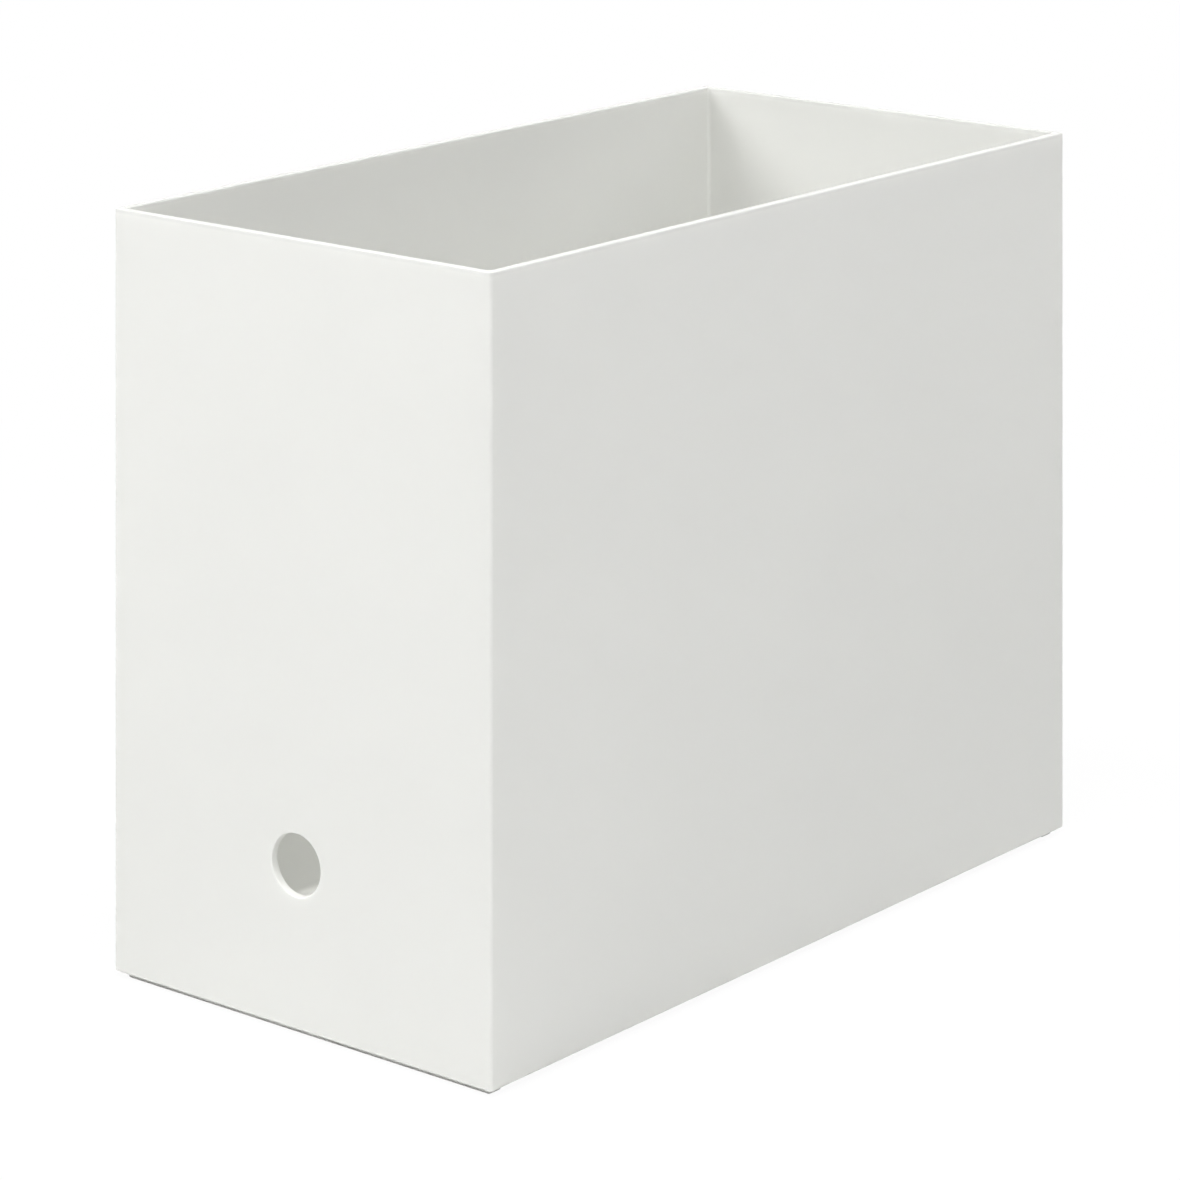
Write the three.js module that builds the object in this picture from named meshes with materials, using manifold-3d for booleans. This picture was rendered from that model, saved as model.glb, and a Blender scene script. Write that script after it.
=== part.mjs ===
// Open-topped file box for A4 folders, injection moulded in one piece of matte polypropylene.
// Millimetres. X is the box's width, Y its depth with the finger hole at -Y, and Z is up from the table.
import * as THREE from 'three';
import { mergeVertices } from 'three/addons/utils/BufferGeometryUtils.js';
import Module from 'manifold-3d';

// Overall size, feet included
const WIDTH = 148;
const DEPTH = 320;
const HEIGHT = 240;

// Walls: the outside is upright, and the inside leans a little so that the box leaves its mould
const RIM_WALL = 2.4;
const BASE_WALL = 3.0;
const FLOOR = 2.6;

// Roundings
const OUTER_CORNER = 1.0;
const INNER_CORNER = 1.2;
const RIM_EDGE = 0.5;
const BASE_EDGE = 0.9;
const FLOOR_FILLET = 2.0;

// Finger hole in the narrow front wall
const HOLE_DIAMETER = 19;
const HOLE_CENTRE_HEIGHT = 51.5;
const HOLE_EDGE = 0.35;

// Two low bars across the underside, one near the front and one near the back
const FOOT_HEIGHT = 2.0;
const FOOT_WIDTH = 6.0;
const FOOT_INSET = 3.0;
const FOOT_CORNER = 1.0;
const FOOT_EDGE = 0.4;

// How finely round shapes are cut
const CORNER_STEPS = 5;
const EDGE_STEPS = 4;
const HOLE_STEPS = 56;

// The smallest corner radius of a ring, and how far a cutter runs past a face or a foot into the floor
const LEAST_CORNER = 0.05;
const OVERRUN = 1.0;

const BASE_Z = FOOT_HEIGHT;
const FLOOR_Z = BASE_Z + FLOOR;
const OUTER = new THREE.Vector2(WIDTH / 2, DEPTH / 2);

/** Wall thickness at height z: BASE_WALL at the floor, RIM_WALL at the rim. */
function wallAt(z) {
  return THREE.MathUtils.mapLinear(z, FLOOR_Z, HEIGHT, BASE_WALL, RIM_WALL);
}

/** A level rounded rectangle, counter-clockwise from above, inset by `inset` from the rectangle `half`. */
function ring(half, inset, corner, z) {
  const radius = Math.max(corner, LEAST_CORNER);
  const x = half.x - inset - radius;
  const y = half.y - inset - radius;
  const points = [];
  for (const [quarter, sx, sy] of [[0, 1, 1], [1, -1, 1], [2, -1, -1], [3, 1, -1]]) {
    for (let i = 0; i <= CORNER_STEPS; i++) {
      const angle = (quarter + i / CORNER_STEPS) * Math.PI / 2;
      points.push(new THREE.Vector3(sx * x + radius * Math.cos(angle), sy * y + radius * Math.sin(angle), z));
    }
  }
  return points;
}

/** The angles of a rounded edge, from 0 to a quarter turn. */
function quarterTurn() {
  return Array.from({ length: EDGE_STEPS + 1 }, (_, i) => (i / EDGE_STEPS) * Math.PI / 2);
}

/** A closed skin over a stack of rings with the same number of points, capped flat at both ends. */
function skin(rings) {
  const centre = (points) => new THREE.Vector3(0, 0, points[0].z);
  const count = rings[0].length;
  const vertices = [centre(rings[0]), ...rings.flat(), centre(rings.at(-1))];
  const last = vertices.length - 1;
  const at = (row, i) => 1 + row * count + (i % count);
  const faces = [];
  for (let i = 0; i < count; i++) {
    faces.push(0, at(0, i + 1), at(0, i));
    for (let row = 0; row + 1 < rings.length; row++) {
      faces.push(at(row, i), at(row, i + 1), at(row + 1, i + 1));
      faces.push(at(row, i), at(row + 1, i + 1), at(row + 1, i));
    }
    faces.push(last, at(rings.length - 1, i), at(rings.length - 1, i + 1));
  }
  const geometry = new THREE.BufferGeometry().setFromPoints(vertices);
  geometry.setIndex(faces);
  return geometry;
}

/** The tray of the box: base, outer walls, rim, leaning inner walls and floor in one skin. */
function trayGeometry() {
  const rings = [];
  for (const a of quarterTurn()) {
    const inset = BASE_EDGE * (1 - Math.sin(a));
    rings.push(ring(OUTER, inset, OUTER_CORNER - inset, BASE_Z + BASE_EDGE * (1 - Math.cos(a))));
  }
  for (const a of quarterTurn()) {
    const inset = RIM_EDGE * (1 - Math.cos(a));
    rings.push(ring(OUTER, inset, OUTER_CORNER - inset, HEIGHT - RIM_EDGE * (1 - Math.sin(a))));
  }
  for (const a of quarterTurn()) {
    const short = RIM_EDGE * (1 - Math.sin(a));
    rings.push(ring(OUTER, RIM_WALL - short, INNER_CORNER + short, HEIGHT - RIM_EDGE * (1 - Math.cos(a))));
  }
  for (const a of quarterTurn()) {
    const extra = FLOOR_FILLET * (1 - Math.cos(a));
    const z = FLOOR_Z + FLOOR_FILLET * (1 - Math.sin(a));
    rings.push(ring(OUTER, wallAt(z) + extra, INNER_CORNER - extra, z));
  }
  return skin(rings);
}

/** One foot bar: a low block with rounded corners and a rounded lower edge, its top inside the floor. */
function footGeometry(y) {
  const half = new THREE.Vector2(OUTER.x - FOOT_INSET, FOOT_WIDTH / 2);
  const rings = quarterTurn().map((a) => {
    const inset = FOOT_EDGE * (1 - Math.sin(a));
    return ring(half, inset, FOOT_CORNER - inset, FOOT_EDGE * (1 - Math.cos(a)));
  });
  rings.push(ring(half, 0, FOOT_CORNER, BASE_Z + Math.min(OVERRUN, FLOOR / 2)));
  return skin(rings).translate(0, y, 0);
}

/** The cutter of the finger hole: a round bar along Y that widens at both faces of the front wall. */
function fingerHoleGeometry() {
  const radius = HOLE_DIAMETER / 2;
  const wall = wallAt(HOLE_CENTRE_HEIGHT);
  const wide = radius + HOLE_EDGE;
  const front = quarterTurn().map((a) => new THREE.Vector2(
    wide - HOLE_EDGE * Math.sin(a), HOLE_EDGE * (1 - Math.cos(a))));
  const back = front.map((p) => new THREE.Vector2(p.x, wall - p.y)).reverse();
  const outline = [
    new THREE.Vector2(0, -OVERRUN), new THREE.Vector2(wide, -OVERRUN),
    ...front, ...back,
    new THREE.Vector2(wide, wall + OVERRUN), new THREE.Vector2(0, wall + OVERRUN),
  ];
  return new THREE.LatheGeometry(outline, HOLE_STEPS).translate(0, -OUTER.y, HOLE_CENTRE_HEIGHT);
}

const wasm = await Module();
wasm.setup();

/** A closed geometry as a solid: shared vertices merged, and faces that shrank to a line left out. */
function solid(geometry) {
  const bare = geometry.clone();
  bare.deleteAttribute('normal');
  bare.deleteAttribute('uv');
  const merged = mergeVertices(bare, 1e-5);
  const index = merged.index.array;
  const faces = [];
  for (let i = 0; i < index.length; i += 3) {
    const [a, b, c] = [index[i], index[i + 1], index[i + 2]];
    if (a !== b && b !== c && c !== a) faces.push(a, b, c);
  }
  return new wasm.Manifold(new wasm.Mesh({
    numProp: 3,
    vertProperties: new Float32Array(merged.attributes.position.array),
    triVerts: new Uint32Array(faces),
  }));
}

/** A solid back as a geometry, with flat shading. */
function geometryOf(body) {
  const { vertProperties, triVerts } = body.getMesh();
  const geometry = new THREE.BufferGeometry();
  geometry.setAttribute('position', new THREE.BufferAttribute(vertProperties, 3));
  geometry.setIndex(new THREE.BufferAttribute(triVerts, 1));
  geometry.computeVertexNormals();
  return geometry;
}

/** The whole moulding: the tray on its two foot bars, with the finger hole cut through the front wall. */
function fileBox() {
  const footY = OUTER.y - FOOT_INSET - FOOT_WIDTH / 2;
  const body = solid(trayGeometry())
    .add(solid(footGeometry(-footY)))
    .add(solid(footGeometry(footY)))
    .subtract(solid(fingerHoleGeometry()));
  const plastic = new THREE.MeshStandardMaterial({ color: 0xe4e5e0, roughness: 0.6, metalness: 0 });
  const mesh = new THREE.Mesh(geometryOf(body), plastic);
  mesh.name = 'file_box';
  return mesh;
}

const model = new THREE.Group();
model.add(fileBox());

export default model;
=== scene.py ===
"""Open-topped plastic file box, one moulding, in a plain white studio.

Geometry Nodes make the box again with finer roundings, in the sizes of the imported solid, which it stands for.
Metres, +Z up, with the finger hole in the narrow wall at -Y.
"""
import math

import bpy
from mathutils import Matrix, Vector


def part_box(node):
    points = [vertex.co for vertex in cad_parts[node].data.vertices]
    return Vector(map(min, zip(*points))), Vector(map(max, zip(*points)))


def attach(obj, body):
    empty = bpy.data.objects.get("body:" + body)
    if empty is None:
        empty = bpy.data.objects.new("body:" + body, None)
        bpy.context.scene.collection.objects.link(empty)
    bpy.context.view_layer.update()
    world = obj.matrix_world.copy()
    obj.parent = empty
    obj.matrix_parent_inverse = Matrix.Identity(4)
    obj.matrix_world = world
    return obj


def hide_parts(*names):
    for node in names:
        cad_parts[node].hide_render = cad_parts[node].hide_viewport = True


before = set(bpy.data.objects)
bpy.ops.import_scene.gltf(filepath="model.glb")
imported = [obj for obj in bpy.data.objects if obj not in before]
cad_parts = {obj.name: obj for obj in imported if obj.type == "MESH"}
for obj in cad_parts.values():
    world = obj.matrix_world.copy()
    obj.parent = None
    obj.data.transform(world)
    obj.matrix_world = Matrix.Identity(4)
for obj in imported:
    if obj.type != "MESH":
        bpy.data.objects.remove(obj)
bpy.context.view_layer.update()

MM = 0.001

# The box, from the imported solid
LOW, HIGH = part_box("file_box")
WIDTH, DEPTH, HEIGHT = HIGH - LOW

# Walls: upright outside, and leaning a little inside
RIM_WALL = 2.4 * MM
BASE_WALL = 3.0 * MM
FLOOR = 2.6 * MM

# Roundings
OUTER_CORNER = 1.0 * MM
INNER_CORNER = 1.2 * MM
RIM_EDGE = 0.5 * MM
BASE_EDGE = 0.9 * MM
FLOOR_FILLET = 2.0 * MM
LEAST_CORNER = 0.02 * MM

# Finger hole
HOLE_DIAMETER = 19 * MM
HOLE_CENTRE_HEIGHT = 51.5 * MM
HOLE_EDGE = 0.35 * MM

# Foot bars
FOOT_HEIGHT = 2.0 * MM
FOOT_WIDTH = 6.0 * MM
FOOT_INSET = 3.0 * MM
FOOT_CORNER = 1.0 * MM
FOOT_EDGE = 0.4 * MM

# How finely round shapes are cut, how far a cutter or a foot runs past a face, and which edges stay sharp
CORNER_STEPS = 8
HOLE_STEPS = 32
EDGE_STEPS = 8
OVERRUN = 1.0 * MM
WELD = 0.001 * MM
SHARP_FROM = math.radians(40)

BASE_Z = LOW.z + FOOT_HEIGHT
FLOOR_Z = BASE_Z + FLOOR

# The plastic: warm pale grey, coloured through. How far light scatters in it is chosen, not measured.
PLASTIC = (0.796, 0.799, 0.771)
PLASTIC_IOR = 1.49
SCATTERING = 2.5 * MM
CLOUD_SIZE = 55 * MM
CLOUD_SHARE = 0.006
RUB_SIZE = 14 * MM
ROUGHNESS = (0.54, 0.62)
FLOW_SIZE = 38 * MM
FLOW_DEPTH = 0.02 * MM
GRAIN_SIZE = 0.45 * MM
GRAIN_DEPTH = 0.012 * MM

# The rim's colour is taken down near its top, because the top clips to white in this light, and it is a little
# smoother. The photograph shows no wear there.
# Painted shade: the rim's colour is darkened near its top so that the top doesn't clip to white in this light.
RIM_PAINTED_SHADE = 0.86
RIM_PAINTED_SHADE_DEPTH = 1.6 * MM
RIM_SMOOTHING = -0.06
RIM_SMOOTHING_DEPTH = 6 * MM

# The floor: its tone and roughness in the light, and how much of its shading the camera sees near the box
FLOOR_REACH = 6.0
FLOOR_TONE = 0.86
FLOOR_ROUGHNESS = 0.9
FLOOR_SHADOW = 0.06
SHADOW_FADE = (0.25, 0.7)

# Soft boxes that face the middle of the box: name, azimuth and elevation in degrees, size, power. Azimuth 0
# is in front, and 90 at the right side. Their powers are fitted to the tones of the photograph.
LAMP_DISTANCE = 2.2
LAMPS = [
    ("key_soft_box", -40, 40, 1.3, 31.5),
    ("high_right_soft_box", 40, 66, 1.3, 30.5),
    ("right_soft_box", 55, 25, 1.3, 3.2),
    ("side_soft_box", 85, 42, 1.3, 6.8),
    ("back_soft_box", 170, 40, 1.6, 27.0),
]

# The photograph's camera, found from the outlines of the box. Its picture plane is upright, because the
# upright edges are parallel in the photograph. VANISHING is the place in the picture straight ahead of the
# camera at its own height, far above the top edge.
PICTURE = 1180
CAMERA_PLACE = Vector((0.8742, -1.1978, 0.5046))
CAMERA_TURN = math.radians(42.2295)
FOCAL_PIXELS = 4505.67
VANISHING = (129.11, -640.18)
SENSOR = 36.0
CLIP = (0.05, 50)


class Nodes:
    """A node tree with short calls. A socket given as a value is linked, and anything else is set."""

    def __init__(self, tree):
        self.tree = tree

    def add(self, kind, inputs=None, **settings):
        node = self.tree.nodes.new(kind)
        for name, value in settings.items():
            setattr(node, name, value)
        for key, value in (inputs or {}).items():
            self.put(node.inputs[key], value)
        return node

    def put(self, socket, value):
        if isinstance(value, bpy.types.NodeSocket):
            self.tree.links.new(value, socket)
        else:
            socket.default_value = value

    def math(self, operation, *values):
        return self.add("ShaderNodeMath", dict(enumerate(values)), operation=operation).outputs[0]

    def point(self, x, y, z):
        return self.add("ShaderNodeCombineXYZ", {"X": x, "Y": y, "Z": z}).outputs[0]


def geometry_group(name, inputs):
    """An empty Geometry Nodes group with named inputs and one Geometry output."""
    tree = bpy.data.node_groups.new(name, "GeometryNodeTree")
    for label, kind in inputs:
        tree.interface.new_socket(label, in_out="INPUT", socket_type="NodeSocket" + kind)
    tree.interface.new_socket("Geometry", in_out="OUTPUT", socket_type="NodeSocketGeometry")
    nodes = Nodes(tree)
    given = nodes.add("NodeGroupInput").outputs
    result = nodes.add("NodeGroupOutput").inputs[0]
    return nodes, given, result


def quarter_turn():
    """The angles of a rounded edge, from 0 to a quarter turn."""
    return [math.pi / 2 * i / EDGE_STEPS for i in range(EDGE_STEPS + 1)]


def wall_at(z):
    """Wall thickness at a height: BASE_WALL at the floor, RIM_WALL at the rim."""
    return BASE_WALL + (RIM_WALL - BASE_WALL) * (z - FLOOR_Z) / (HIGH.z - FLOOR_Z)


def tray_section():
    """The section of the tray, from the middle of the base up the outside, over the rim and down to the floor.

    A point is (inset from the outer faces, height, radius of the upright corners there).
    """
    middle = WIDTH / 2
    section = [(middle, BASE_Z, 0)]
    for a in quarter_turn():
        inset = BASE_EDGE * (1 - math.sin(a))
        section.append((inset, BASE_Z + BASE_EDGE * (1 - math.cos(a)), OUTER_CORNER - inset))
    for a in quarter_turn():
        inset = RIM_EDGE * (1 - math.cos(a))
        section.append((inset, HIGH.z - RIM_EDGE * (1 - math.sin(a)), OUTER_CORNER - inset))
    for a in quarter_turn():
        short = RIM_EDGE * (1 - math.sin(a))
        section.append((RIM_WALL - short, HIGH.z - RIM_EDGE * (1 - math.cos(a)), INNER_CORNER + short))
    for a in quarter_turn():
        extra = FLOOR_FILLET * (1 - math.cos(a))
        z = FLOOR_Z + FLOOR_FILLET * (1 - math.sin(a))
        section.append((wall_at(z) + extra, z, max(INNER_CORNER - extra, LEAST_CORNER)))
    return section + [(middle, FLOOR_Z, 0)]


def foot_section():
    """The section of a foot bar, from the middle of its underside up its rounded edge and into the base."""
    section = [(FOOT_WIDTH / 2, LOW.z, 0)]
    for a in quarter_turn():
        inset = FOOT_EDGE * (1 - math.sin(a))
        section.append((inset, LOW.z + FOOT_EDGE * (1 - math.cos(a)), FOOT_CORNER - inset))
    top = BASE_Z + OVERRUN
    return section + [(0, top, FOOT_CORNER), (FOOT_WIDTH / 2, top, 0)]


def hole_section():
    """The section of the finger hole's cutter, from outside the wall inwards, widening at both faces."""
    radius = HOLE_DIAMETER / 2 + HOLE_EDGE
    wall = wall_at(HOLE_CENTRE_HEIGHT)
    front = [(HOLE_EDGE * math.sin(a), HOLE_EDGE * (1 - math.cos(a))) for a in quarter_turn()]
    back = [(inset, wall - depth) for inset, depth in reversed(front)]
    section = [(radius, -OVERRUN), (0, -OVERRUN)] + front + back
    section += [(0, wall + OVERRUN), (radius, wall + OVERRUN)]
    return [(inset, depth, radius - inset) for inset, depth in section]


def section_object(name, section):
    """A section as a line of points at (inset, 0, height), each with its corner radius."""
    mesh = bpy.data.meshes.new(name)
    steps = [(i, i + 1) for i in range(len(section) - 1)]
    mesh.from_pydata([(inset, 0, z) for inset, z, _ in section], steps, [])
    corner = mesh.attributes.new("corner", "FLOAT", "POINT")
    corner.data.foreach_set("value", [radius for _, _, radius in section])
    drawn = bpy.data.objects.new(name, mesh)
    bpy.context.scene.collection.objects.link(drawn)
    return drawn


def swept_section_group():
    """Sweeps a section round a rectangle with rounded corners, and closes it in the middle at both ends."""
    nodes, given, result = geometry_group("section swept round a rectangle", [
        ("Section", "Object"), ("Half width", "Float"), ("Half depth", "Float"), ("Corner steps", "Int")])
    drawn = nodes.add("GeometryNodeObjectInfo", {"Object": given["Section"]}).outputs["Geometry"]
    levels = nodes.add("GeometryNodeAttributeDomainSize", {0: drawn}).outputs["Point Count"]
    per_corner = nodes.math("ADD", given["Corner steps"], 1)
    around = nodes.math("MULTIPLY_ADD", per_corner, 4, 1)
    grid = nodes.add("GeometryNodeMeshGrid", {"Vertices X": levels, "Vertices Y": around}).outputs["Mesh"]

    index = nodes.add("GeometryNodeInputIndex").outputs[0]
    level = nodes.math("FLOOR", nodes.math("DIVIDE", nodes.math("ADD", index, 0.5), around))
    column = nodes.math("SUBTRACT", index, nodes.math("MULTIPLY", level, around))
    quarter = nodes.math("FLOOR", nodes.math("DIVIDE", nodes.math("ADD", column, 0.5), per_corner))
    step = nodes.math("SUBTRACT", column, nodes.math("MULTIPLY", quarter, per_corner))
    turned = nodes.math("ADD", quarter, nodes.math("DIVIDE", step, given["Corner steps"]))
    angle = nodes.math("MULTIPLY", turned, math.pi / 2)
    facing = nodes.math("MULTIPLY_ADD", quarter, math.pi / 2, math.pi / 4)

    place = nodes.add("GeometryNodeInputPosition").outputs[0]
    sampled = nodes.add("GeometryNodeSampleIndex", {"Geometry": drawn, "Value": place, "Index": level},
                        data_type="FLOAT_VECTOR").outputs["Value"]
    inset, _, height = nodes.add("ShaderNodeSeparateXYZ", {0: sampled}).outputs
    radius = nodes.add("GeometryNodeInputNamedAttribute", {"Name": "corner"}, data_type="FLOAT").outputs[0]
    corner = nodes.add("GeometryNodeSampleIndex", {"Geometry": drawn, "Value": radius, "Index": level},
                       data_type="FLOAT").outputs["Value"]

    def across(half, side, reach):
        """The place of a point across the rectangle: its corner's centre, and its reach from there."""
        centre = nodes.math("SUBTRACT", nodes.math("SUBTRACT", half, inset), corner)
        signed = nodes.math("MULTIPLY", nodes.math("SIGN", nodes.math(side, facing)), centre)
        return nodes.math("ADD", signed, nodes.math("MULTIPLY", corner, nodes.math(reach, angle)))

    x = across(given["Half width"], "COSINE", "COSINE")
    y = across(given["Half depth"], "SINE", "SINE")
    moved = nodes.add("GeometryNodeSetPosition", {"Geometry": grid, "Position": nodes.point(x, y, height)})
    welded = nodes.add("GeometryNodeMergeByDistance", {"Geometry": moved.outputs[0], "Distance": WELD})
    outwards = nodes.add("GeometryNodeFlipFaces", {0: welded.outputs[0]})
    nodes.tree.links.new(outwards.outputs[0], result)
    return nodes.tree


def file_box_group(swept):
    """The whole moulding: the tray on its two foot bars, with the finger hole cut through the front wall."""
    nodes, given, result = geometry_group("file box moulding", [
        ("Tray section", "Object"), ("Foot section", "Object"), ("Hole section", "Object"),
        ("Half width", "Float"), ("Half depth", "Float"),
        ("Foot inset", "Float"), ("Half foot width", "Float"),
        ("Hole height", "Float"), ("Hole radius", "Float"), ("Hole lean", "Float"),
        ("Corner steps", "Int"), ("Hole steps", "Int"), ("Plastic", "Material")])

    def sweep(section, half_width, half_depth, steps):
        return nodes.add("GeometryNodeGroup", {
            "Section": section, "Half width": half_width, "Half depth": half_depth, "Corner steps": steps,
        }, node_tree=swept).outputs[0]

    tray = sweep(given["Tray section"], given["Half width"], given["Half depth"], given["Corner steps"])

    foot_half = nodes.math("SUBTRACT", given["Half width"], given["Foot inset"])
    foot = sweep(given["Foot section"], foot_half, given["Half foot width"], given["Corner steps"])
    foot_y = nodes.math("SUBTRACT", nodes.math("SUBTRACT", given["Half depth"], given["Foot inset"]),
                        given["Half foot width"])
    apart = nodes.add("GeometryNodeMeshLine", {
        "Count": 2, "Start Location": nodes.point(0, nodes.math("MULTIPLY", foot_y, -1), 0),
        "Offset": nodes.point(0, foot_y, 0)}, mode="END_POINTS").outputs[0]
    feet = nodes.add("GeometryNodeInstanceOnPoints", {"Points": apart, "Instance": foot}).outputs[0]
    feet = nodes.add("GeometryNodeRealizeInstances", {0: feet}).outputs[0]

    cutter = sweep(given["Hole section"], given["Hole radius"], given["Hole radius"], given["Hole steps"])
    position = nodes.add("GeometryNodeInputPosition").outputs[0]
    x, y, depth = nodes.add("ShaderNodeSeparateXYZ", {0: position}).outputs
    leaning = nodes.math("MULTIPLY", depth, nodes.math("MULTIPLY_ADD", y, given["Hole lean"], 1))
    place = nodes.point(x, nodes.math("SUBTRACT", leaning, given["Half depth"]),
                        nodes.math("SUBTRACT", given["Hole height"], y))
    cutter = nodes.add("GeometryNodeSetPosition", {"Geometry": cutter, "Position": place}).outputs[0]

    body = nodes.add("GeometryNodeMeshBoolean", {"Mesh 2": tray}, operation="UNION", solver="MANIFOLD")
    nodes.put(body.inputs["Mesh 2"], feet)
    holed = nodes.add("GeometryNodeMeshBoolean", {"Mesh 1": body.outputs[0], "Mesh 2": cutter},
                      operation="DIFFERENCE", solver="MANIFOLD").outputs[0]
    bend = nodes.add("GeometryNodeInputMeshEdgeAngle").outputs["Unsigned Angle"]
    gentle = nodes.add("FunctionNodeCompare", {"A": bend, "B": SHARP_FROM}, operation="LESS_THAN").outputs[0]
    smooth = nodes.add("GeometryNodeSetShadeSmooth", {"Geometry": holed, "Shade Smooth": True}, domain="FACE")
    smooth = nodes.add("GeometryNodeSetShadeSmooth", {"Geometry": smooth.outputs[0], "Shade Smooth": gentle},
                       domain="EDGE")
    real = nodes.add("GeometryNodeRealizeInstances", {0: smooth.outputs[0]}).outputs[0]
    dressed = nodes.add("GeometryNodeSetMaterial", {"Geometry": real, "Material": given["Plastic"]})
    nodes.tree.links.new(dressed.outputs[0], result)
    return nodes.tree


def set_inputs(modifier, values):
    """Sets a Geometry Nodes modifier's inputs by their names."""
    sockets = {item.name: item.identifier for item in modifier.node_group.interface.items_tree
               if item.item_type == "SOCKET" and item.in_out == "INPUT"}
    for name, value in values.items():
        modifier[sockets[name]] = value


def make_file_box(plastic):
    """The box as one plain mesh with flat walls and smooth roundings."""
    sections = [section_object("tray_section", tray_section()),
                section_object("foot_section", foot_section()),
                section_object("hole_section", hole_section())]
    maker = bpy.data.objects.new("moulding_maker", bpy.data.meshes.new("moulding_maker"))
    bpy.context.scene.collection.objects.link(maker)
    moulding = maker.modifiers.new("moulding", "NODES")
    moulding.node_group = file_box_group(swept_section_group())
    lean = (RIM_WALL - BASE_WALL) / (HIGH.z - FLOOR_Z) / wall_at(HOLE_CENTRE_HEIGHT)
    set_inputs(moulding, {
        "Tray section": sections[0], "Foot section": sections[1], "Hole section": sections[2],
        "Half width": WIDTH / 2, "Half depth": DEPTH / 2,
        "Foot inset": FOOT_INSET, "Half foot width": FOOT_WIDTH / 2,
        "Hole height": HOLE_CENTRE_HEIGHT, "Hole radius": HOLE_DIAMETER / 2 + HOLE_EDGE, "Hole lean": -lean,
        "Corner steps": CORNER_STEPS, "Hole steps": HOLE_STEPS, "Plastic": plastic})
    flat_walls = maker.modifiers.new("flat walls", "WEIGHTED_NORMAL")
    flat_walls.mode = "FACE_AREA"
    flat_walls.weight = 50
    flat_walls.keep_sharp = True
    depsgraph = bpy.context.evaluated_depsgraph_get()
    mesh = bpy.data.meshes.new_from_object(maker.evaluated_get(depsgraph), preserve_all_data_layers=True,
                                           depsgraph=depsgraph)
    for helper in [maker] + sections:
        bpy.data.objects.remove(helper)
    mesh.name = "file_box_moulding"
    mesh.materials.clear()
    mesh.materials.append(plastic)
    box = bpy.data.objects.new("file_box_moulding", mesh)
    bpy.context.scene.collection.objects.link(box)
    return box


def moulded_plastic():
    """Matte polypropylene with a fine eroded grain, smoother near the rim, with painted shade darkening its
    colour there.
    """
    material = bpy.data.materials.new("moulded_polypropylene")
    material.use_nodes = True
    nodes = Nodes(material.node_tree)
    shader = material.node_tree.nodes["Principled BSDF"]
    shader.inputs["IOR"].default_value = PLASTIC_IOR
    shader.inputs["Metallic"].default_value = 0.0
    shader.subsurface_method = "BURLEY"
    shader.inputs["Subsurface Weight"].default_value = 1.0
    shader.inputs["Subsurface Radius"].default_value = (1.0, 1.0, 1.0)
    shader.inputs["Subsurface Scale"].default_value = SCATTERING
    place = nodes.add("ShaderNodeTexCoord").outputs["Object"]

    def noise(size, detail, roughness=0.5):
        """Noise with features of about `size` metres, from 0 to 1."""
        return nodes.add("ShaderNodeTexNoise", {
            "Vector": place, "Scale": 1 / size, "Detail": detail, "Roughness": roughness,
        }, noise_dimensions="3D").outputs[0]

    def spread(value, low, high):
        return nodes.add("ShaderNodeMapRange", {
            "Value": value, "From Min": 0.25, "From Max": 0.75, "To Min": low, "To Max": high}).outputs[0]

    cloudy = spread(noise(CLOUD_SIZE, 2), 0.0, 1.0)
    colour = nodes.add("ShaderNodeMix", {"Factor": cloudy}, data_type="RGBA")
    colour.inputs[6].default_value = (*[c * (1 - CLOUD_SHARE) for c in PLASTIC], 1)
    colour.inputs[7].default_value = (*[c * (1 + CLOUD_SHARE) for c in PLASTIC], 1)

    height = nodes.add("ShaderNodeSeparateXYZ", {0: place}).outputs[2]
    # Painted shade: the base colour darkens towards the rim's top.
    painted_shade_share = nodes.add("ShaderNodeMapRange", {
        "Value": height, "From Min": HIGH.z - RIM_PAINTED_SHADE_DEPTH, "From Max": HIGH.z - RIM_EDGE / 2}).outputs[0]
    painted_shade = nodes.add("ShaderNodeMix", {"Factor": painted_shade_share}, data_type="RGBA")
    nodes.put(painted_shade.inputs[6], colour.outputs[2])
    painted_shade.inputs[7].default_value = (*[c * RIM_PAINTED_SHADE for c in PLASTIC], 1)
    nodes.put(shader.inputs["Base Color"], painted_shade.outputs[2])

    smoother = nodes.add("ShaderNodeMapRange", {
        "Value": height, "From Min": HIGH.z - RIM_SMOOTHING_DEPTH, "From Max": HIGH.z,
        "To Min": 0.0, "To Max": RIM_SMOOTHING}).outputs[0]
    rubbed = nodes.math("ADD", spread(noise(RUB_SIZE, 3), *ROUGHNESS), smoother)
    nodes.put(shader.inputs["Roughness"], rubbed)

    flow = nodes.add("ShaderNodeBump", {
        "Strength": 0.35, "Distance": FLOW_DEPTH, "Height": noise(FLOW_SIZE, 1)}).outputs[0]
    grain = nodes.add("ShaderNodeBump", {
        "Strength": 0.5, "Distance": GRAIN_DEPTH, "Height": noise(GRAIN_SIZE, 3, 0.6), "Normal": flow})
    nodes.put(shader.inputs["Normal"], grain.outputs[0])
    return material


def looked_at(nodes):
    """1 where the camera looks, straight or by a reflection, and 0 for all other light."""
    seen = nodes.add("ShaderNodeLightPath").outputs
    return nodes.math("MAXIMUM", seen["Is Camera Ray"],
                      nodes.math("MAXIMUM", seen["Is Glossy Ray"], seen["Is Transmission Ray"]))


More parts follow.
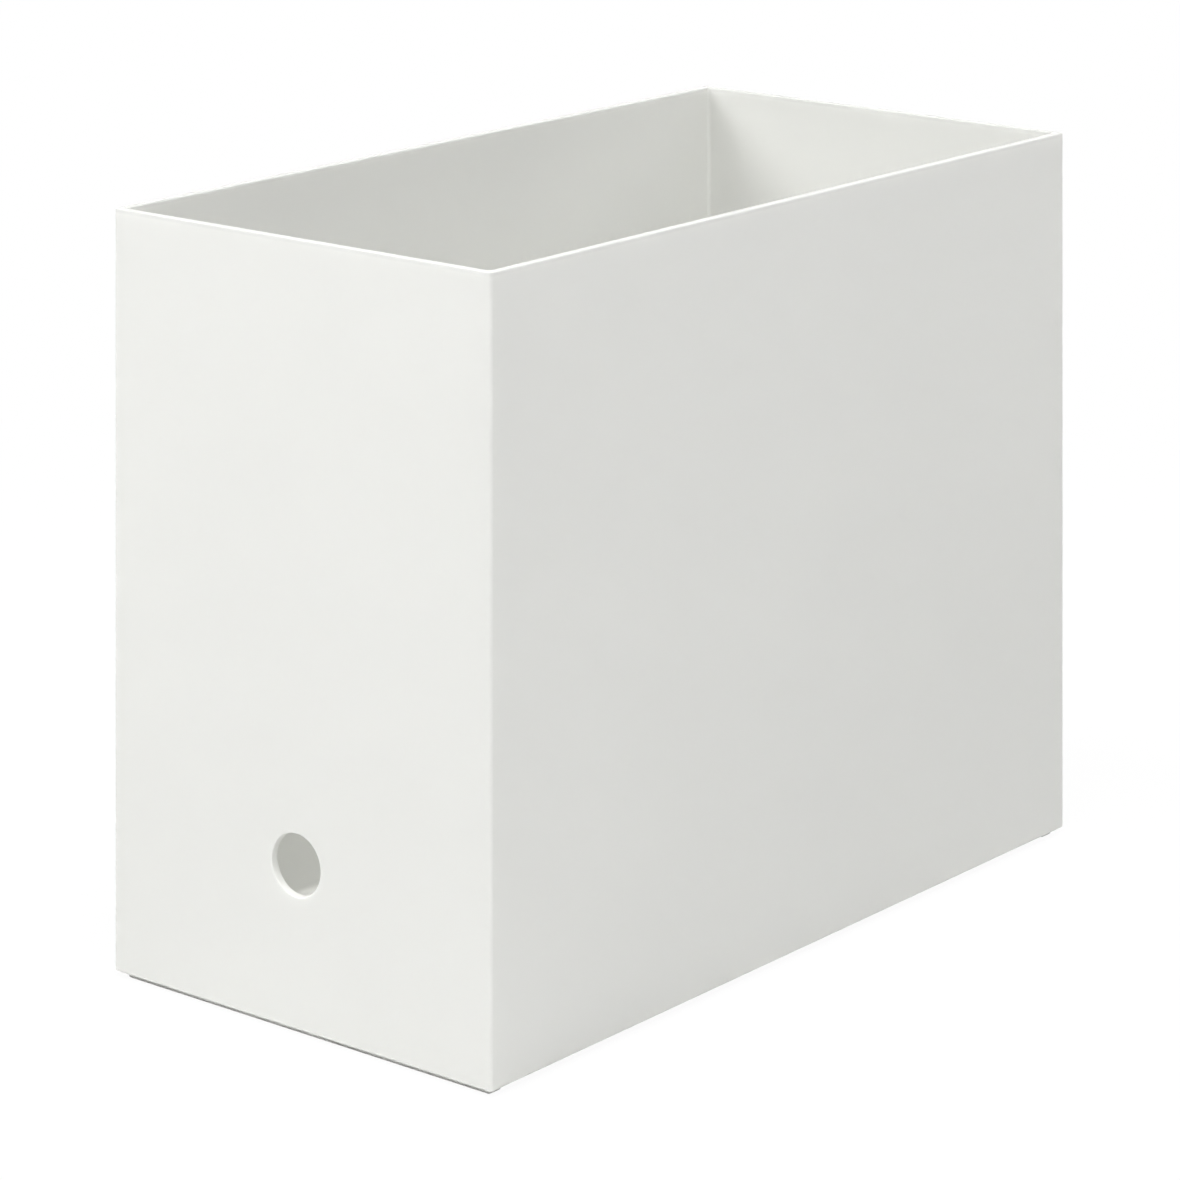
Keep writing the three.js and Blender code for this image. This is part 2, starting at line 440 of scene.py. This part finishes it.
def white_floor():
    """A white floor that the camera sees as white, with only the box's shadow on it."""
    material = bpy.data.materials.new("white_floor")
    material.use_nodes = True
    nodes = Nodes(material.node_tree)
    plain = material.node_tree.nodes["Principled BSDF"]
    plain.inputs["Base Color"].default_value = (FLOOR_TONE, FLOOR_TONE, FLOOR_TONE, 1)
    plain.inputs["Roughness"].default_value = FLOOR_ROUGHNESS
    glow = nodes.add("ShaderNodeEmission", {"Color": (1, 1, 1, 1), "Strength": 1.0}).outputs[0]
    shaded = nodes.add("ShaderNodeBsdfDiffuse", {"Color": (1, 1, 1, 1)}).outputs[0]
    place = nodes.add("ShaderNodeTexCoord").outputs["Object"]
    away = nodes.add("ShaderNodeVectorMath", {0: place}, operation="LENGTH").outputs["Value"]
    share = nodes.add("ShaderNodeMapRange", {
        "Value": away, "From Min": SHADOW_FADE[0], "From Max": SHADOW_FADE[1],
        "To Min": FLOOR_SHADOW, "To Max": 0.0}).outputs[0]
    shown = nodes.add("ShaderNodeMixShader", {"Fac": share, 1: glow, 2: shaded}).outputs[0]
    mixed = nodes.add("ShaderNodeMixShader", {"Fac": looked_at(nodes), 1: plain.outputs[0], 2: shown})
    nodes.put(material.node_tree.nodes["Material Output"].inputs["Surface"], mixed.outputs[0])
    return material


def make_floor():
    """A wide floor under the foot bars."""
    mesh = bpy.data.meshes.new("floor")
    corners = [(-1, -1), (1, -1), (1, 1), (-1, 1)]
    mesh.from_pydata([(x * FLOOR_REACH, y * FLOOR_REACH, LOW.z) for x, y in corners], [], [(0, 1, 2, 3)])
    mesh.materials.append(white_floor())
    floor = bpy.data.objects.new("floor", mesh)
    bpy.context.scene.collection.objects.link(floor)


def make_world():
    """White where the camera sees past the floor, and no light of its own."""
    world = bpy.data.worlds.new("studio")
    world.use_nodes = True
    bpy.context.scene.world = world
    nodes = Nodes(world.node_tree)
    background = world.node_tree.nodes["Background"]
    background.inputs["Color"].default_value = (1, 1, 1, 1)
    nodes.put(background.inputs["Strength"], looked_at(nodes))


def lamp(name, azimuth, elevation, size, power):
    """A square soft box that faces the middle of the box."""
    a, e = math.radians(azimuth), math.radians(elevation)
    away = Vector((math.sin(a) * math.cos(e), -math.cos(a) * math.cos(e), math.sin(e)))
    light = bpy.data.lights.new(name, "AREA")
    light.shape = "SQUARE"
    light.size = size
    light.energy = power
    holder = bpy.data.objects.new(name, light)
    bpy.context.scene.collection.objects.link(holder)
    holder.location = (LOW + HIGH) / 2 + away * LAMP_DISTANCE
    holder.rotation_mode = "QUATERNION"
    holder.rotation_quaternion = away.to_track_quat("Z", "Y")


def make_camera():
    """The camera of the photograph.

    Its picture plane is upright while its line of sight dips, so its own axes aren't square to each other:
    X runs level, Y upright and Z back along the line of sight. The parent's inverse matrix holds them.
    """
    ahead = Vector((-math.sin(CAMERA_TURN), math.cos(CAMERA_TURN), 0))
    right = Vector((math.cos(CAMERA_TURN), math.sin(CAMERA_TURN), 0))
    up = Vector((0, 0, 1))
    middle = PICTURE / 2
    sight = FOCAL_PIXELS * ahead + (middle - VANISHING[0]) * right - (middle - VANISHING[1]) * up
    back = -sight.normalized()
    data = bpy.data.cameras.new("camera")
    data.sensor_width = SENSOR
    data.lens = sight.length / PICTURE * SENSOR
    data.clip_start, data.clip_end = CLIP
    camera = bpy.data.objects.new("camera", data)
    stand = bpy.data.objects.new("camera_stand", None)
    for thing in (camera, stand):
        bpy.context.scene.collection.objects.link(thing)
    camera.parent = stand
    axes = Matrix((right, up, back)).transposed().to_4x4()
    camera.matrix_parent_inverse = Matrix.Translation(CAMERA_PLACE) @ axes
    bpy.context.scene.camera = camera


box = make_file_box(moulded_plastic())
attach(box, "root")
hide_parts("file_box")

make_floor()
make_world()
for soft_box in LAMPS:
    lamp(*soft_box)
make_camera()
bpy.context.scene.view_settings.view_transform = "Standard"
